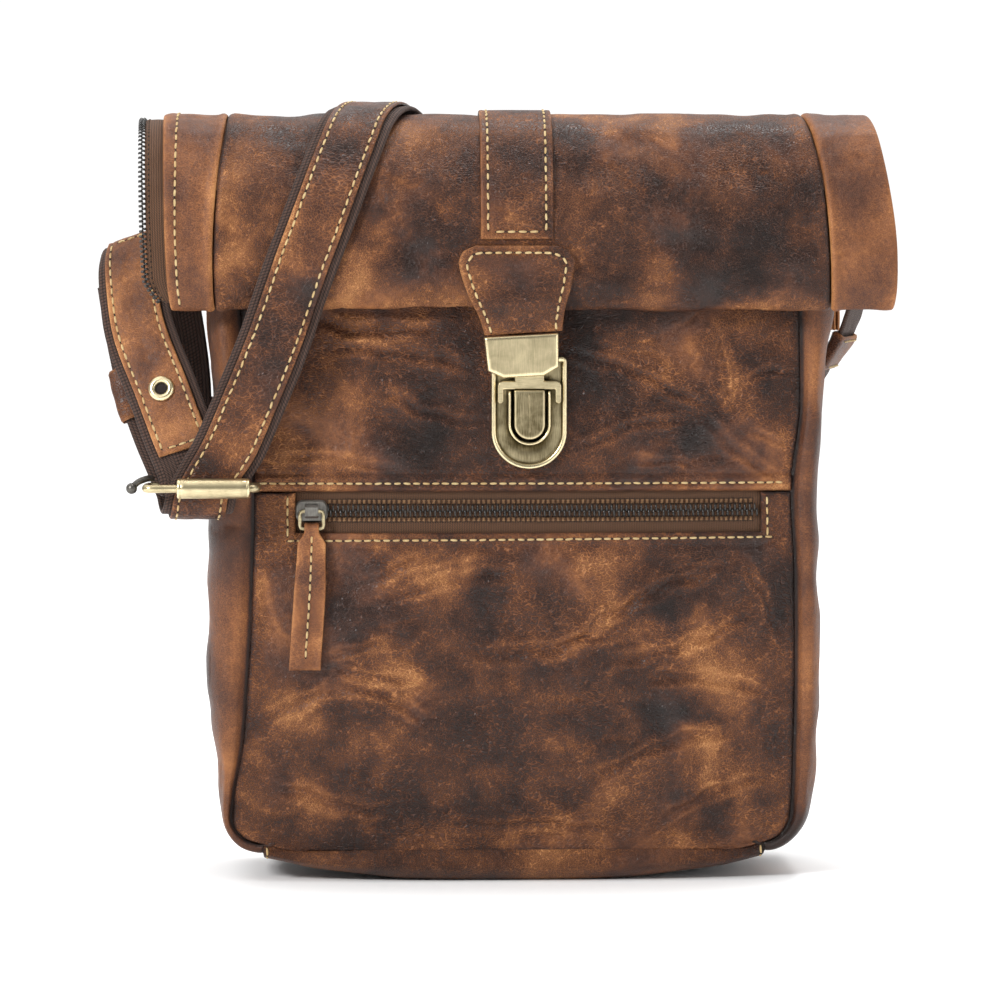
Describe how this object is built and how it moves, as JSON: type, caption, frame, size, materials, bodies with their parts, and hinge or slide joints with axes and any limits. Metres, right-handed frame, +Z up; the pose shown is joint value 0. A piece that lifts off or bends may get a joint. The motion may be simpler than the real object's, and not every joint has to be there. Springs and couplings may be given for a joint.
{
  "type": "shoulder bag",
  "caption": "Upright leather shoulder bag with its top folded forward, a push lock on a strap, a zipped front pocket and a webbing strap with a roller buckle",
  "frame": {"origin": "middle of the flat underside that the bag stands on", "axes": "+X to the right as seen from the front, +Y from the front to the back, +Z up"},
  "size_m": [0.3275, 0.1428, 0.3213],
  "materials": {
    "body_leather": "waxed pull-up leather, mottled mid brown",
    "dark_leather": "waxed pull-up leather, dark brown",
    "light_leather": "waxed pull-up leather, lighter and more even",
    "webbing": "woven herringbone webbing, dark brown",
    "zip_tape": "woven zip tape, brown",
    "zip_teeth": "nylon coil, black",
    "antique_brass": "brushed antique brass, worn bright on its edges",
    "dark_brass": "antique brass, darkened"
  },
  "bodies": {
    "bag": {"front_lower_panel": "body_leather", "front_upper_panel": "dark_leather", "back_and_flap_panel": "body_leather", "flap_side_left": "light_leather", "flap_side_right": "body_leather", "gusset_left": "light_leather", "gusset_right": "light_leather", "bottom_panel": "body_leather", "pocket_zip_tape": "zip_tape", "pocket_zip_coil": "zip_teeth", "pocket_zip_slider": "dark_brass", "closure_strip": "body_leather", "closure_tab": "body_leather", "tab_end_cap": "antique_brass", "lock_plate": "antique_brass", "lock_collar": "antique_brass", "hasp_loop": "antique_brass", "long_webbing": "webbing", "long_overlay": "dark_leather", "short_webbing": "webbing", "short_overlay": "light_leather", "keeper_left": "body_leather", "keeper_right": "dark_leather", "eyelet": "antique_brass", "buckle_frame": "antique_brass", "buckle_roller": "antique_brass", "buckle_prong": "dark_brass", "side_tab_left": "body_leather", "side_tab_right": "body_leather", "top_zip_tape": "zip_tape", "top_zip_coil": "zip_teeth"},
    "push_button": {"lock_button": "antique_brass"},
    "zip_pull": {"pocket_zip_link": "antique_brass", "zip_puller": "body_leather"}
  },
  "joints": [
    {"name": "lock_button_press", "type": "slide", "parent": "bag", "child": "push_button", "axis": [0, 1, 0], "range_m": [0, 0.0016], "stiffness_N_per_m": 600},
    {"name": "zip_pull_swing", "type": "hinge", "parent": "bag", "child": "zip_pull", "pos_m": [-0.08375, -0.04051, 0.1538], "axis": [-1, 0, 0], "range_deg": [0, 150]}
  ]
}
